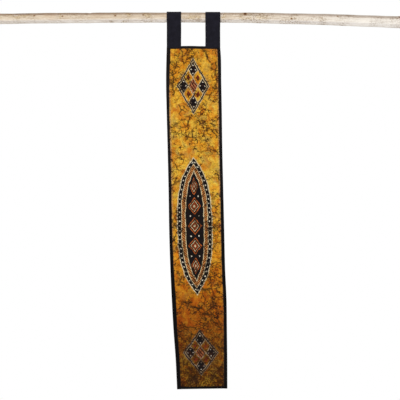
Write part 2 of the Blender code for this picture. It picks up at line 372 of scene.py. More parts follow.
# Soft round areas where the dye took more, below 0, or less, above 0
POOL_COLUMNS = ("x", "drop", "spread", "lightness")
POOLS = (
    (0.048, 0.361, 0.020, -1.0),
    (-0.016, 0.397, 0.012, -0.7),
    (0.042, 0.425, 0.012, -0.7),
    (0.076, 0.684, 0.016, -0.8),
    (0.066, 0.760, 0.010, -0.8),
    (0.061, 0.853, 0.013, -0.9),
    (0.077, 0.118, 0.010, -0.8),
    (-0.020, 0.133, 0.022, -0.8),
    (0.071, 0.932, 0.016, -0.8),
    (0.073, 0.242, 0.020, -0.7),
    (-0.019, 0.937, 0.010, -1.3),
    (0.008, 0.959, 0.010, -1.2),
    (0.069, 0.956, 0.011, -1.3),
    (0.034, 0.981, 0.012, -1.2),
    (-0.047, 1.026, 0.015, -1.1),
    (0.078, 1.012, 0.010, -0.9),
    (0.002, 1.190, 0.014, -1.8),
    (-0.040, 1.200, 0.012, -1.2),
    (0.095, 1.190, 0.014, -1.4),
    (0.066, 0.497, 0.020, 0.9),
    (0.068, 0.540, 0.016, 0.7),
    (0.042, 0.153, 0.022, 1.1),
    (-0.064, 0.133, 0.014, 0.8),
    (0.061, 0.298, 0.020, 0.8),
    (-0.061, 0.311, 0.018, 0.8),
    (-0.021, 0.437, 0.024, 0.6),
    (-0.052, 0.618, 0.018, 0.7),
    (0.078, 0.575, 0.016, 0.8),
    (-0.057, 0.806, 0.022, 0.5),
    (-0.027, 0.905, 0.016, 1.2),
    (0.009, 0.941, 0.008, 1.2),
    (-0.043, 0.981, 0.012, 1.3),
    (0.033, 0.997, 0.009, 1.2),
    (0.088, 0.962, 0.010, 1.2),
    (-0.010, 1.005, 0.014, 0.8),
    (-0.037, 1.120, 0.014, 1.3),
    (0.090, 1.136, 0.012, 1.3),
    (0.040, 1.198, 0.014, 1.4),
    (-0.021, 1.202, 0.010, 1.2),
)
POOL = dict(zip(POOL_COLUMNS, np.array(POOLS).T))

# Soft round areas where the ochre leans to rust, above 0, or to plain yellow, below 0
BLUSH_COLUMNS = ("x", "drop", "spread", "warmth")
BLUSHES = (
    (-0.059, 0.127, 0.011, -0.1),
    (-0.031, 0.130, 0.012, 0.2),
    (0.063, 0.130, 0.011, -0.2),
    (0.036, 0.158, 0.014, -1.0),
    (-0.054, 0.193, 0.013, 0.9),
    (0.064, 0.262, 0.018, 1.2),
    (0.066, 0.310, 0.016, 1.0),
    (-0.059, 0.308, 0.013, 0.8),
    (-0.025, 0.358, 0.010, 0.9),
    (-0.008, 0.439, 0.011, 0.9),
    (0.066, 0.500, 0.024, -0.8),
    (0.078, 0.730, 0.024, -0.7),
    (-0.058, 0.767, 0.022, 0.5),
    (0.078, 0.817, 0.018, 0.3),
    (-0.048, 0.883, 0.018, 0.6),
    (0.009, 0.942, 0.010, 0.6),
    (0.094, 0.952, 0.010, 0.6),
    (-0.044, 0.985, 0.014, 0.3),
    (-0.020, 1.150, 0.040, -0.7),
    (0.070, 1.180, 0.030, -0.7),
    (0.025, 1.182, 0.011, 1.6),
    (0.061, 1.147, 0.009, 1.2),
    (-0.030, 1.196, 0.011, 1.5),
    (0.093, 1.137, 0.008, 1.2),
    (0.084, 1.208, 0.010, 1.3),
)
BLUSH = dict(zip(BLUSH_COLUMNS, np.array(BLUSHES).T))

# The main creases, as soft ridges, above 0, or troughs, below 0, from one end to the other
CREASE_COLUMNS = ("from_x", "from_drop", "to_x", "to_drop", "half_width", "proud")
CREASES = (
    (-0.060, 0.100, -0.028, 0.176, 0.008, 0.0012),
    (-0.036, 0.102, -0.004, 0.150, 0.007, -0.0011),
    (0.056, 0.100, 0.026, 0.182, 0.008, 0.0011),
    (0.034, 0.102, 0.006, 0.142, 0.006, -0.0009),
    (-0.080, 0.158, -0.014, 0.164, 0.005, -0.0009),
    (0.076, 0.148, 0.080, 0.300, 0.009, 0.0012),
    (-0.074, 0.230, -0.066, 0.420, 0.010, 0.0013),
    (-0.070, 0.352, 0.010, 0.330, 0.007, -0.0010),
    (-0.078, 0.458, -0.010, 0.450, 0.006, 0.0010),
    (0.030, 0.500, 0.086, 0.536, 0.010, 0.0011),
    (0.086, 0.600, 0.078, 0.820, 0.011, 0.0014),
    (-0.068, 0.640, -0.040, 0.800, 0.012, 0.0012),
    (0.000, 0.846, 0.094, 0.872, 0.010, -0.0010),
    (-0.064, 0.941, 0.104, 0.946, 0.005, 0.0013),
    (-0.062, 0.962, 0.060, 0.966, 0.007, -0.0009),
    (0.030, 0.984, 0.100, 1.028, 0.007, -0.0011),
    (-0.058, 1.010, 0.016, 1.036, 0.008, 0.0010),
    (0.090, 1.060, 0.084, 1.214, 0.010, 0.0015),
    (-0.046, 1.120, -0.026, 1.220, 0.009, 0.0015),
    (0.000, 1.150, 0.040, 1.218, 0.011, -0.0011),
)
CREASE = dict(zip(CREASE_COLUMNS, np.array(CREASES).T))

# How much darker and browner each height is: partly brown over-dye, partly painted shade
HEM_DYE_AND_SHADE_COLUMNS = ("drop", "strength")
HEM_DYE_AND_SHADE_ROWS = (
    (0.094, 0.12), (0.220, 0.08), (0.300, 0.02), (0.540, 0.00), (0.700, 0.10), (0.777, 0.17),
    (0.823, 0.25), (0.869, 0.29), (0.916, 0.34), (0.962, 0.40), (1.008, 0.50), (1.054, 0.66),
    (1.101, 0.78), (1.147, 0.82), (1.193, 0.94), (1.226, 1.00),
)
HEM_DYE_AND_SHADE = dict(zip(HEM_DYE_AND_SHADE_COLUMNS, np.array(HEM_DYE_AND_SHADE_ROWS).T))


def smooth_column(table, column, drop):
    """A column of a table at any drop, along the cubic with the table's own slopes at its rows."""
    drops, values = table["drop"], table[column]
    slopes = np.gradient(values, drops)
    drop = np.clip(drop, drops[0], drops[-1])
    i = np.clip(np.searchsorted(drops, drop) - 1, 0, len(drops) - 2)
    span = drops[i + 1] - drops[i]
    t = (drop - drops[i]) / span
    start = (1 + 2 * t) * (1 - t) ** 2 * values[i] + t * (1 - t) ** 2 * span * slopes[i]
    end = t * t * (3 - 2 * t) * values[i + 1] + t * t * (t - 1) * span * slopes[i + 1]
    return start + end


def edges_at(drop):
    """The x of the cloth's left and right bound edges at a drop."""
    return smooth_column(SECTION, "left", drop), smooth_column(SECTION, "right", drop)


def cloth_point(x, drop, offset=0.0):
    """The hanging cloth's middle surface at x and drop, moved by offset towards the wall.

    Its depth across is the parabola through the left, middle and right depths of that height.
    """
    x, drop, offset = np.broadcast_arrays(x, drop, offset)
    left, right = edges_at(drop)
    u = (x - left) / (right - left)
    depth = (
        smooth_column(SECTION, "left_depth", drop) * (1 - u) * (1 - 2 * u)
        + smooth_column(SECTION, "middle_depth", drop) * 4 * u * (1 - u)
        + smooth_column(SECTION, "right_depth", drop) * u * (2 * u - 1)
    )
    return np.stack((x, depth + offset, -drop), axis=-1)


def puckers(x, drop):
    """Relief of the open cloth: short waves drawn in by the side seams that die away inwards, and slack.

    Near a seam it is a sine down the seam times exp(-distance / reach), and elsewhere a sum of slow sines.
    """
    left, right = edges_at(drop)
    from_left, from_right = np.maximum(x - left, 0), np.maximum(right - x, 0)
    beat = tau * drop / PUCKER_LENGTH
    left_wave = np.sin(beat + 1.7 * np.sin(tau * drop / 0.21)) * (1 + 0.6 * np.sin(tau * drop / 0.147))
    right_wave = np.sin(beat * 1.13 + 1.9 * np.sin(tau * drop / 0.19 + 1))
    right_wave = right_wave * (1 + 0.6 * np.cos(tau * drop / 0.171))
    drawn = np.exp(-from_left / PUCKER_REACH) * left_wave + np.exp(-from_right / PUCKER_REACH) * right_wave
    slack = np.sin(tau * (drop / 0.31 + x / 0.15)) + 0.7 * np.sin(tau * (drop / 0.083 - x / 0.21) + 2)
    slack += 0.45 * np.sin(tau * (drop / 0.047 + x / 0.061) + 4)
    held = np.clip(np.minimum(from_left, from_right) / HELD_REACH, 0, 1)
    hem = np.clip(np.minimum(drop - TOP_DROP, HEM_DROP - drop) / HELD_REACH, 0, 1)
    return (PUCKER_HEIGHT * drawn + SLACK_HEIGHT * slack * held) * hem


def from_strokes(strokes, x, drop):
    """Distance from each point to each straight stroke of a table, and where along it the nearest point lies.

    The nearest point is the foot of the perpendicular, kept between the stroke's ends at 0 and 1.
    """
    run_x, run_drop = strokes["to_x"] - strokes["from_x"], strokes["to_drop"] - strokes["from_drop"]
    away_x, away_drop = x[..., None] - strokes["from_x"], drop[..., None] - strokes["from_drop"]
    t = np.clip((away_x * run_x + away_drop * run_drop) / (run_x ** 2 + run_drop ** 2), 0, 1)
    return np.hypot(away_x - t * run_x, away_drop - t * run_drop), t


def wandering(x, drop):
    """The points of the cloth, moved by slow and quick sines so that straight strokes wander."""
    aside = WANDER * np.sin(tau * drop / 0.043) + QUICK_WANDER * np.sin(tau * drop / 0.017 + 1)
    down = WANDER * np.sin(tau * x / 0.037 + 2) + QUICK_WANDER * np.sin(tau * x / 0.015)
    return x + aside, drop + down


def creased(x, drop):
    """Relief of the creases: each stands its height times exp(-(distance / half width)^2) towards the room.

    Along its length it swells and dies away as sqrt(4 t (1 - t)), and near the seams it is held flat.
    """
    left, right = edges_at(drop)
    distance, t = from_strokes(CREASE, *wandering(x, drop))
    swell = np.sqrt(4 * t * (1 - t))
    ridges = (CREASE["proud"] * np.exp(-((distance / CREASE["half_width"]) ** 2)) * swell).sum(axis=-1)
    inside = np.minimum(np.minimum(x - left, right - x), np.minimum(drop - TOP_DROP, HEM_DROP - drop))
    return -ridges * np.clip((inside - CREASE_START) / CREASE_FADE, 0, 1)


def soft_areas(areas, column, x, drop):
    """Sum over a table's areas of one of its columns times a round bell of the area's spread."""
    squared = (x[..., None] - areas["x"]) ** 2 + (drop[..., None] - areas["drop"]) ** 2
    return (areas[column] * np.exp(-squared / (2 * areas["spread"] ** 2))).sum(axis=-1)


THREAD_MM = 0.9


def woven_relief(tree, mm, strength):
    """Plain weave as its bump and its relief: at each crossing a round top, |sine across * sine along|.

    The real threads are about 0.4 mm apart, too fine to show, so they are drawn 0.9 mm apart. Every other
    crossing, where the sines' product is below 0, is a little lower.
    """
    scaled = node(tree, "VectorMath", {0: mm, 1: (pi / THREAD_MM, pi / THREAD_MM, 0)}, operation="MULTIPLY")
    crossed = node(tree, "VectorMath", {0: scaled}, operation="SINE")
    parts = node(tree, "SeparateXYZ", {0: crossed})
    over = node(tree, "Math", {0: parts.outputs["X"], 1: parts.outputs["Y"]}, operation="MULTIPLY")
    top = node(tree, "Math", {0: over}, operation="ABSOLUTE")
    thread = node(tree, "Math", {0: over, 1: 0.25, 2: top}, operation="MULTIPLY_ADD")
    slub = node(tree, "TexNoise", {"Vector": mm, "Scale": 1 / 2.5, "Detail": 3})
    relief = node(tree, "Math", {0: slub, 1: 1.2, 2: thread}, operation="MULTIPLY_ADD")
    bump = node(tree, "Bump", {"Strength": strength, "Distance": 0.0003, "Height": relief})
    return bump, thread


LEAF_MIDDLE, LEAF_DROP, LEAF_HALF_WIDTH, LEAF_HALF_HEIGHT = -6.0, 688.0, 57.0, 226.0
LEAF_FULLNESS = 1.5
LEAF_PITCH = 66.0
CREAM_WAX, WHITE_WAX, DARK_DYE = "#E8D8B0", "#F0EAD8", "#171217"
LEAF_BANDS = ((-1.5, CREAM_WAX), (1.6, DARK_DYE), (12.5, CREAM_WAX), (14.8, "#D8904A"), (25.0, CREAM_WAX),
              (27.4, DARK_DYE))
LEAF_MARGIN = 2.0
BORDER_DOT_DEPTH, BORDER_DOT_STEP = 7.0, 15.0
HATCH_BAND_DEPTH, HATCH_BAND_HALF = 19.9, 5.1
CORE_DEPTH = 27.4
CORE_LOZENGES_REACH = 2.5
CORE_LOZENGE_WIDE, CORE_LOZENGE_HIGH = 1.2, 2.15
DOT_RADIUS_MM = 2.2
GAP_DOT_SIDE = 13.0
LOZENGE_COLUMNS = ("middle", "drop", "half_width", "half_height", "wax", "dot", "stripe_dark", "stripe_light")
LOZENGES = (
    (-2.0, 226.0, 47.0, 82.0, "#DDC79A", WHITE_WAX, "#6A281C", "#C98256"),
    # The lower lozenge's colours are darker copies of the upper one's: partly over-dye, partly painted shade
    (-2.0, 1106.0, 51.0, 66.0, "#98846A", "#BCB2A6", "#4E241C", "#A8643E"),
)
LOZENGE_CELLS = 3
CELL_MIDDLE = (0.5, 0.5, 0)
LOZENGE_BORDER, LOZENGE_BORDER_LINE = 3.7, 5.0
HATCH_MM = 7.6
WAX_LINE_MM = 2.6
CRACKLE_COLUMNS = ("channel", "cell_mm", "line_mm", "turn", "stretch", "low", "high", "strength", "colour")
CRACKLES = (
    ("X", 38, 2.5, 0.6, 1.6, 0.47, 0.56, 0.85, "#33280C"),
    ("Y", 22, 2.0, -0.8, 2.4, 0.50, 0.58, 0.80, "#4A2C0C"),
    ("Z", 9, 1.9, 0.2, 1.3, 0.48, 0.57, 0.95, "#3A1C0A"),
)
TINT_COLUMNS = ("channel", "warmth", "none", "full", "blend", "strength", "colour")
TINTS = (
    ("X", 0.07, 0.50, 0.62, "MIX", 0.65, "#EE961C"),
    ("Y", 0.06, 0.50, 0.62, "MULTIPLY", 0.75, "#DEB2A6"),
    ("Z", -0.08, 0.50, 0.62, "MULTIPLY", 0.40, "#C4D2DC"),
    ("X", 0.00, 0.46, 0.37, "MIX", 0.34, "#AC9460"),
)
RIDGE_CELL_MM = 8.0
SPECKS = ((2.9, 0.24, 0.95), (1.9, 0.44, 0.95))
SLUB_MM, SLUB_LENGTH_MM = 2.4, 45.0


def through(tree, kind, value, *steps):
    """A value passed through one Math or VectorMath node after another.

    Each step is the node's operation and then its other inputs.
    """
    for operation, *others in steps:
        value = node(tree, kind, dict(enumerate((value, *others))), operation=operation)
    return value


def furthest(tree, place):
    """The larger of |x| and |y| at a place, which is the same all along a square about zero."""
    sides = node(tree, "VectorMath", {0: place}, operation="ABSOLUTE")
    sides = node(tree, "SeparateXYZ", {0: sides})
    return node(tree, "Math", {0: sides.outputs["X"], 1: sides.outputs["Y"]}, operation="MAXIMUM")


def round_dot(tree, across, down):
    """1 inside a dot of wax round the place where across and down, in millimetres, are 0."""
    place = node(tree, "CombineXYZ", {0: across, 1: down})
    distance = node(tree, "VectorMath", {0: place}, operation="LENGTH")
    return node(tree, "Math", {0: distance, 1: DOT_RADIUS_MM}, operation="LESS_THAN")


def batik_cotton():
    """Wax-resist dyed cotton, matt: mottled ochre with cream wax lines, dark dye, and brown crackle."""
    material, tree, shader = new_material("batik_cotton", 0.86, sheen=0.03)
    place = node(tree, "UVMap", uv_map="cloth")
    mm = node(tree, "VectorMath", {0: place, 1: MM_PER_METRE}, operation="MULTIPLY")
    glow = node(tree, "Attribute", attribute_name="pooled_dye").outputs["Fac"]
    dye_and_shade_to_hem = node(tree, "Attribute", attribute_name="hem_dye_and_shade").outputs["Fac"]

    # The ground: blotches of several sizes, lighter or darker where the dye pooled, tinted in soft areas
    blotch = node(
        tree, "TexNoise", {"Vector": mm, "Scale": 1 / 17, "Detail": 7, "Roughness": 0.74, "Distortion": 0.6},
    )
    tone = node(tree, "Math", {0: glow, 1: 0.09, 2: blotch}, operation="MULTIPLY_ADD")
    # Darker towards the hem, partly over-dye and partly painted shade
    tone = node(tree, "Math", {0: dye_and_shade_to_hem, 1: -0.07, 2: tone}, operation="MULTIPLY_ADD")
    ground = node(
        tree, "ValToRGB", {0: tone},
        stops=((0.21, "#50300A"), (0.31, "#965E12"), (0.38, "#DC9820"), (0.44, "#F6B630"), (0.51, "#FDCA44"),
               (0.60, "#FFD04A"), (0.72, "#FFDE74")),
    )
    hues = node(tree, "TexNoise", {"Vector": mm, "Scale": 1 / 27, "Detail": 4, "Distortion": 0.6})
    hues = node(tree, "SeparateXYZ", {0: hues.outputs["Color"]})
    blush = node(tree, "Attribute", attribute_name="blush").outputs["Fac"]
    for row in TINTS:
        tint = dict(zip(TINT_COLUMNS, row))
        taken = node(
            tree, "Math", {0: blush, 1: tint["warmth"], 2: hues.outputs[tint["channel"]]},
            operation="MULTIPLY_ADD",
        )
        ground = covered(
            tree, ground, tint["colour"], taken, tint["none"], tint["full"], tint["strength"], tint["blend"],
        )
    ragged = node(tree, "TexNoise", {"Vector": mm, "Scale": 1 / 5, "Detail": 5, "Roughness": 0.75})

    # A paler, duller strip beside each side binding
    inside = node(tree, "Attribute", attribute_name="from_edge").outputs["Fac"]
    strip = node(tree, "Math", {0: ragged, 1: 0.003, 2: inside}, operation="MULTIPLY_ADD")
    ground = covered(tree, ground, "#C6A07C", strip, 0.0158, 0.0125, 0.6)

    # A brown darkening over the ground, deeper towards the hem and uneven from thread to thread: partly
    # over-dye and partly painted shade
    uneven = through(tree, "Math", ragged, ("MULTIPLY_ADD", 2.0, -0.15), ("MULTIPLY", dye_and_shade_to_hem))
    browned = node(
        tree, "ValToRGB", {0: uneven},
        stops=((0.0, "#FFFFFF"), (0.17, "#F4D9A6"), (0.38, "#C2976A"), (0.64, "#856A52"), (0.85, "#5C4F3A"),
               (1.0, "#3A3225")),
    )
    dyed_and_shaded = node(tree, "Mix", {0: 1.0, 1: ground, 2: browned}, blend_type="MULTIPLY")

    # Towards the hem, thin ridges of wax leave a broken net of brighter lines of ochre without that darkening
    wander = node(tree, "TexNoise", {"Vector": mm, "Scale": 1 / 14, "Detail": 4}).outputs["Color"]
    wandered = node(tree, "VectorMath", {0: wander, 1: (18, 18, 0), 2: mm}, operation="MULTIPLY_ADD")
    patchy = node(tree, "TexNoise", {"Vector": mm, "Scale": 1 / 32, "Detail": 3, "Distortion": 0.8})
    patchy = node(tree, "SeparateXYZ", {0: patchy.outputs["Color"]})
    kept = node(
        tree, "Mapping", {"Vector": wandered, "Rotation": (0, 0, -0.9), "Scale": (2.0, 1, 1)},
        vector_type="TEXTURE",
    )
    kept = node(tree, "TexVoronoi", {"Vector": kept, "Scale": 1 / RIDGE_CELL_MM}, feature="DISTANCE_TO_EDGE")
    kept = node(tree, "MapRange", {"Value": kept, "From Min": 0.11, "From Max": 0.03})
    near_hem = node(tree, "MapRange", {"Value": dye_and_shade_to_hem, "From Min": 0.45, "From Max": 0.95, "To Max": 0.32})
    kept = node(tree, "Math", {0: kept, 1: near_hem}, operation="MULTIPLY")
    ground = node(tree, "Mix", {0: kept, 1: dyed_and_shaded, 2: ground})

    # Coordinates of the wax drawing, which wander as a hand does
    shake = node(tree, "TexNoise", {"Vector": mm, "Scale": 1 / 20, "Detail": 4}).outputs["Color"]
    shake = node(tree, "VectorMath", {0: shake, 1: (0.5, 0.5, 0.5)}, operation="SUBTRACT")
    drawn = node(tree, "VectorMath", {0: shake, 1: (9, 9, 0), 2: mm}, operation="MULTIPLY_ADD")
    dark = node(
        tree, "ValToRGB", {0: blotch}, stops=((0.36, "#0E0A10"), (0.50, "#1A1318"), (0.62, "#3A2018")),
    )

    cloth = ground
    cells = LOZENGE_CELLS
    for row in LOZENGES:
        # Shares of the half width and half height, added and taken from each other, count the cells
        lozenge = dict(zip(LOZENGE_COLUMNS, row))
        middle = (lozenge["middle"], lozenge["drop"], 0)
        away = node(tree, "VectorMath", {0: drawn, 1: middle}, operation="SUBTRACT")
        wide, high = cells / 2 / lozenge["half_width"], cells / 2 / lozenge["half_height"]
        falling = node(tree, "VectorMath", {0: away, 1: (wide, high, 0)}, operation="DOT_PRODUCT")
        rising = node(tree, "VectorMath", {0: away, 1: (-wide, high, 0)}, operation="DOT_PRODUCT")
        both = node(tree, "CombineXYZ", {0: falling, 1: rising})
        out = furthest(tree, both)
        both = node(tree, "VectorMath", {0: both, 1: (cells / 2, cells / 2, 0)}, operation="ADD")
        cell = node(tree, "VectorMath", {0: both}, operation="FLOOR")
        parity = node(tree, "VectorMath", {0: cell, 1: CELL_MIDDLE}, operation="DOT_PRODUCT")
        parity = node(tree, "Math", {0: parity}, operation="FRACT")
        half_row = node(tree, "VectorMath", {0: cell, 1: (0.5, 0, 0)}, operation="DOT_PRODUCT")
        half_row = node(tree, "Math", {0: half_row}, operation="FRACT")
        edge = furthest(tree, through(tree, "VectorMath", both, ("FRACTION",), ("SUBTRACT", CELL_MIDDLE)))

        # A quarter of a cell holds one round dot
        steps = ("MULTIPLY", (2, 2, 0)), ("FRACTION",), ("SUBTRACT", CELL_MIDDLE)
        quarter = through(tree, "VectorMath", both, *steps)
        across, down = (0.25 / wide, -0.25 / wide, 0), (0.25 / high, 0.25 / high, 0)
        across = node(tree, "VectorMath", {0: quarter, 1: across}, operation="DOT_PRODUCT")
        down = node(tree, "VectorMath", {0: quarter, 1: down}, operation="DOT_PRODUCT")
        dot = round_dot(tree, across, down)
        dotted = node(tree, "Mix", {0: dot, 1: dark, 2: linear(lozenge["dot"])})

        cell_mm = 0.5 / hypot(wide, high)
        per_cell = 2 * tau * cell_mm / HATCH_MM
        stripe = through(tree, "Math", rising, ("MULTIPLY", per_cell), ("SINE",), ("GREATER_THAN", 0.1))
        hatched = node(
            tree, "Mix", {0: stripe, 1: linear(lozenge["stripe_dark"]), 2: linear(lozenge["stripe_light"])},
        )
        in_row = node(tree, "Math", {0: half_row, 1: 0.25}, operation="GREATER_THAN")
        filled = node(tree, "Mix", {0: in_row, 1: dotted, 2: hatched})
        seed = node(tree, "Math", {0: edge, 1: 0.20}, operation="LESS_THAN")
        opened = node(tree, "Mix", {0: seed, 1: cloth, 2: linear("#7A3018")})
        is_open = node(tree, "Math", {0: parity, 1: 0.25}, operation="GREATER_THAN")
        inner = node(tree, "Mix", {0: is_open, 1: filled, 2: opened})
        line = WAX_LINE_MM / 4 / cell_mm
        on_line = node(tree, "Math", {0: edge, 1: 0.5 - line}, operation="GREATER_THAN")
        inner = node(tree, "Mix", {0: on_line, 1: inner, 2: linear(lozenge["wax"])})

        # Round the cells lie a cream line, a dark border and a cream line, so many line widths out
        cloth_outside = cloth
        for lines_out, colour in ((LOZENGE_BORDER_LINE, lozenge["wax"]), (LOZENGE_BORDER, "#2A1C20")):
            held = node(tree, "Math", {0: out, 1: cells / 2 + lines_out * line}, operation="LESS_THAN")
            cloth_outside = node(tree, "Mix", {0: held, 1: cloth_outside, 2: linear(colour)})
        within = node(tree, "Math", {0: out, 1: cells / 2 + line}, operation="LESS_THAN")
        cloth = node(tree, "Mix", {0: within, 1: cloth_outside, 2: inner})
    drawn = node(tree, "SeparateXYZ", {0: drawn})

    # The leaf is where two equal discs overlap: depth inside it is the disc's radius less the distance
    # to the further centre, and its bands follow that depth. Heights are first taken as their share of the
    # half height, to a power that makes the leaf fuller
    disc = (LEAF_HALF_HEIGHT ** 2 + LEAF_HALF_WIDTH ** 2) / (2 * LEAF_HALF_WIDTH)
    aside = through(tree, "Math", drawn.outputs["X"], ("SUBTRACT", LEAF_MIDDLE), ("ABSOLUTE",))
    along_leaf = node(tree, "Math", {0: drawn.outputs["Y"], 1: LEAF_DROP}, operation="SUBTRACT")
    steps = ("DIVIDE", LEAF_HALF_HEIGHT), ("POWER", LEAF_FULLNESS), ("MULTIPLY", LEAF_HALF_HEIGHT)
    straight = through(tree, "Math", along_leaf, ("ABSOLUTE",), *steps)
    to_centre = node(tree, "Math", {0: aside, 1: disc - LEAF_HALF_WIDTH}, operation="ADD")
    to_centre = node(tree, "CombineXYZ", {0: to_centre, 1: straight})
    to_centre = node(tree, "VectorMath", {0: to_centre}, operation="LENGTH")
    depth = node(tree, "Math", {0: disc, 1: to_centre}, operation="SUBTRACT")
    share_in = node(tree, "MapRange", {"Value": depth, "From Min": -LEAF_MARGIN, "From Max": LEAF_HALF_WIDTH})
    bands = node(
        tree, "ValToRGB", {0: share_in},
        stops=[((mm_in + LEAF_MARGIN) / (LEAF_HALF_WIDTH + LEAF_MARGIN), code) for mm_in, code in LEAF_BANDS],
    )
    bands.color_ramp.interpolation = "CONSTANT"
    in_leaf = node(tree, "Math", {0: depth, 1: LEAF_BANDS[0][0]}, operation="GREATER_THAN")
    cloth = node(tree, "Mix", {0: in_leaf, 1: cloth, 2: bands})

    # Slanting hatching in the orange band, mirrored about the leaf's middle
    steps = ("ADD", along_leaf), ("MULTIPLY", tau / HATCH_MM), ("SINE",), ("GREATER_THAN", 0.15)
    slant = through(tree, "Math", aside, *steps)
    in_band = node(tree, "Math", {0: depth, 1: HATCH_BAND_DEPTH, 2: HATCH_BAND_HALF}, operation="COMPARE")
    slant = node(tree, "Math", {0: slant, 1: in_band}, operation="MULTIPLY")
    cloth = node(tree, "Mix", {0: slant, 1: cloth, 2: linear("#4A2016")})

    # White dots along the leaf's dark border
    step = node(tree, "Math", {0: along_leaf, 1: BORDER_DOT_STEP / 2}, operation="PINGPONG")
    off_row = node(tree, "Math", {0: depth, 1: BORDER_DOT_DEPTH}, operation="SUBTRACT")
    dot = round_dot(tree, step, off_row)
    cloth = node(tree, "Mix", {0: dot, 1: cloth, 2: linear(WHITE_WAX)})

    # Lozenges stacked down the leaf's core, each as wide as the core allows
    half_core = node(tree, "CombineXYZ", {0: disc - LEAF_HALF_WIDTH, 1: straight})
    half_core = node(tree, "VectorMath", {0: half_core}, operation="LENGTH")
    half_core = node(tree, "Math", {0: disc - CORE_DEPTH, 1: half_core}, operation="SUBTRACT")
    half_core = node(tree, "Math", {0: half_core, 1: 1.0}, operation="MAXIMUM")
    wide = node(tree, "Math", {0: aside, 1: half_core}, operation="DIVIDE")
    between = node(tree, "Math", {0: along_leaf, 1: LEAF_PITCH / 2}, operation="PINGPONG")
    high = node(tree, "Math", {0: between, 1: CORE_LOZENGE_HIGH / LEAF_PITCH}, operation="MULTIPLY")
    size = node(tree, "Math", {0: wide, 1: CORE_LOZENGE_WIDE, 2: high}, operation="MULTIPLY_ADD")
    rings = node(
        tree, "ValToRGB", {0: size},
        stops=((0.0, CREAM_WAX), (0.16, "#8A3D1C"), (0.52, CREAM_WAX), (0.62, DARK_DYE), (0.80, "#C9682E"),
               (0.95, DARK_DYE)),
    )
    rings.color_ramp.interpolation = "CONSTANT"
    in_core = node(tree, "Math", {0: depth, 1: CORE_DEPTH + 1}, operation="GREATER_THAN")
    reach = through(tree, "Math", along_leaf, ("ABSOLUTE",), ("LESS_THAN", CORE_LOZENGES_REACH * LEAF_PITCH))
    in_core = node(tree, "Math", {0: in_core, 1: reach}, operation="MULTIPLY")
    cloth = node(tree, "Mix", {0: in_core, 1: cloth, 2: rings})

    # A pair of dots in each gap between two lozenges
    off_row = node(tree, "Math", {0: between, 1: LEAF_PITCH / 2}, operation="SUBTRACT")
    off_side = node(tree, "Math", {0: aside, 1: GAP_DOT_SIDE}, operation="SUBTRACT")
    dot = round_dot(tree, off_side, off_row)
    dot = node(tree, "Math", {0: dot, 1: in_core}, operation="MULTIPLY")
    cloth = node(tree, "Mix", {0: dot, 1: cloth, 2: linear(WHITE_WAX)})

    # The last, dark bath. It seeped into the wax's cracks: wandering nets of coarse, finer and short lines,
    # each broken up by a noise, and denser towards the hem
    for row in CRACKLES:
        crackle = dict(zip(CRACKLE_COLUMNS, row))
        turned = node(
            tree, "Mapping",
            {"Vector": wandered, "Rotation": (0, 0, crackle["turn"]), "Scale": (crackle["stretch"], 1, 1)},
            vector_type="TEXTURE",
        )
        cell_mm, line_mm = crackle["cell_mm"], crackle["line_mm"]
        from_crack = node(
            tree, "TexVoronoi", {"Vector": turned, "Scale": 1 / cell_mm}, feature="DISTANCE_TO_EDGE",
        )
        line = node(
            tree, "MapRange",
            {"Value": from_crack, "From Min": line_mm / 2 / cell_mm, "From Max": line_mm / 6 / cell_mm},
        )
        dense = node(
            tree, "Math", {0: glow, 1: -0.10, 2: patchy.outputs[crackle["channel"]]},
            operation="MULTIPLY_ADD",
        )
        dense = node(tree, "Math", {0: dye_and_shade_to_hem, 1: 0.055, 2: dense}, operation="MULTIPLY_ADD")
        broken = node(
            tree, "MapRange",
            {
                "Value": dense, "From Min": crackle["low"], "From Max": crackle["high"],
                "To Max": crackle["strength"],
            },
        )
        crack = node(tree, "Math", {0: line, 1: broken}, operation="MULTIPLY")
        cloth = node(tree, "Mix", {0: crack, 1: cloth, 2: linear(crackle["colour"])}, blend_type="DARKEN")

    # It ran along the creases in the wax, ragged along their sides
    run = node(tree, "Attribute", attribute_name="vein").outputs["Fac"]
    run = node(tree, "Math", {0: ragged, 1: 0.005, 2: run}, operation="MULTIPLY_ADD")
    cloth = covered(tree, cloth, "#33240C", run, 0.0060, 0.0038, 0.75, "DARKEN")

    # It came through pinholes in the wax as specks, thickest where the dye pooled
    grit = node(tree, "TexNoise", {"Vector": mm, "Scale": 1 / 1.7, "Detail": 2}).outputs["Color"]
    grit = node(tree, "VectorMath", {0: grit, 1: (2.6, 2.6, 0), 2: mm}, operation="MULTIPLY_ADD")
    for speck_mm, share, strength in SPECKS:
        dots = node(tree, "TexVoronoi", {"Vector": grit, "Scale": 0.5 / speck_mm})
        random = node(tree, "SeparateXYZ", {0: dots.outputs["Color"]})
        from_middle = node(tree, "Math", {0: random.outputs["Y"], 1: 0.26, 2: dots}, operation="MULTIPLY_ADD")
        speck = node(tree, "MapRange", {"Value": from_middle, "From Min": 0.44, "From Max": 0.28})
        thick = node(tree, "Math", {0: glow, 1: 0.5, 2: random.outputs["X"]}, operation="MULTIPLY_ADD")
        few = node(
            tree, "MapRange",
            {"Value": thick, "From Min": share, "From Max": share - 0.1, "To Max": strength},
        )
        speck = node(tree, "Math", {0: speck, 1: few}, operation="MULTIPLY")
        cloth = node(tree, "Mix", {0: speck, 1: cloth, 2: linear("#3C2408")}, blend_type="DARKEN")

